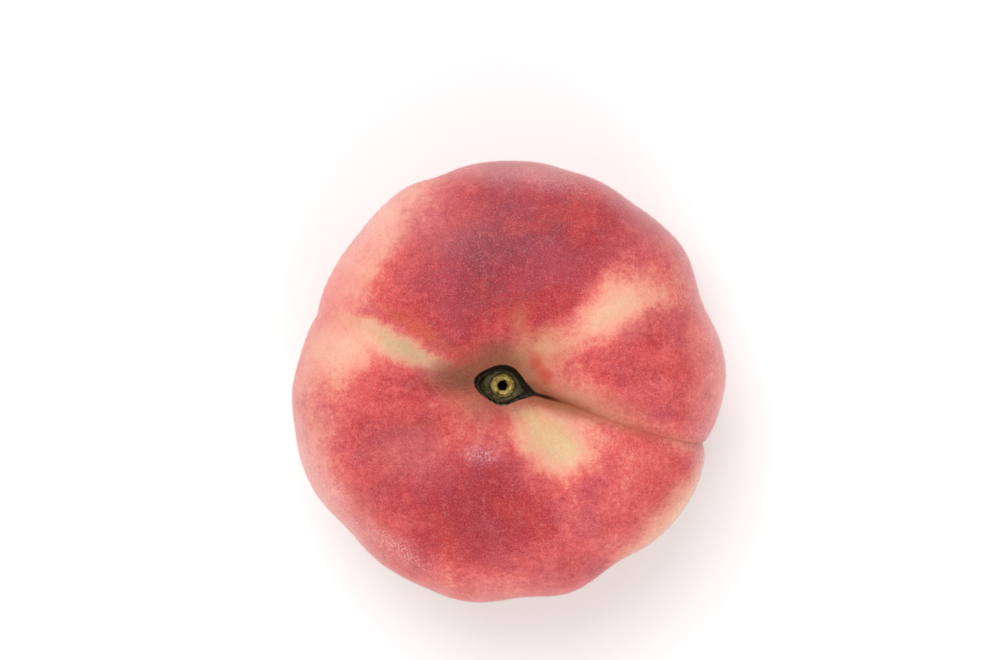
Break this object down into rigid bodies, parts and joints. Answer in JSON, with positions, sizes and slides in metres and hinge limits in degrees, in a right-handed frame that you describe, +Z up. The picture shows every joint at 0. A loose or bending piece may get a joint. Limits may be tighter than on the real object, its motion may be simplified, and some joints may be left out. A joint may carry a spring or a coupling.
{
  "type": "flat peach",
  "caption": "Flat peach lying on its blossom end: a disc-shaped fruit with a dished top, an eye-shaped stalk pit with its scar, and a suture running over the rim.",
  "frame": {"origin": "on the ground, under the middle of the fruit's outline", "axes": "+Z up along the fruit's axis, out of the stalk end; +X to the right as the stalk end is seen, with the suture about 18 degrees clockwise from it"},
  "size_m": [0.071, 0.0722, 0.0381],
  "materials": {
    "peach_skin": "velvety peach skin, red over cream, with a short pale down"
  },
  "bodies": {
    "root": {"flat_peach": "peach_skin"}
  },
  "joints": []
}
